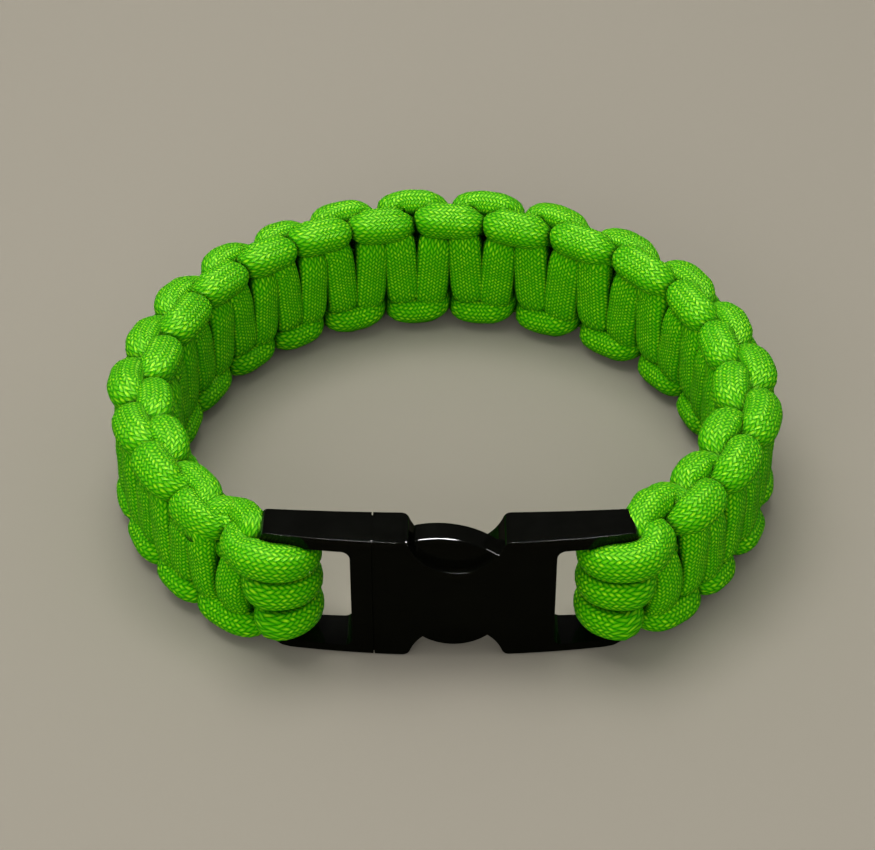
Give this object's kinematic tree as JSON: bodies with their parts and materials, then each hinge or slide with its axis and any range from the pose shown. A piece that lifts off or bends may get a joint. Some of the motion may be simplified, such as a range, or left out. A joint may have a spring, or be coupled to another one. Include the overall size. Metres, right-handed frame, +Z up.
{
  "type": "paracord bracelet",
  "caption": "Knotted cord band with two rows of edge loops, closed to a loop by a side-release buckle whose end bars hold turns of the cord.",
  "frame": {"origin": "middle of the surface that the bracelet stands on, under the middle of its bounding box", "axes": "+X from the buckle's plug towards its socket, +Y from the buckle to the back of the loop, +Z up across the band's width"},
  "size_m": [0.081, 0.0742, 0.0184],
  "materials": {
    "cord": "braided nylon sheath, bright green, soft sheen",
    "buckle": "polished black moulded plastic"
  },
  "bodies": {
    "root": {"woven_band": "cord", "end_turns_left": "cord", "end_turns_right": "cord", "buckle_plug": "buckle", "buckle_socket": "buckle"}
  },
  "joints": []
}
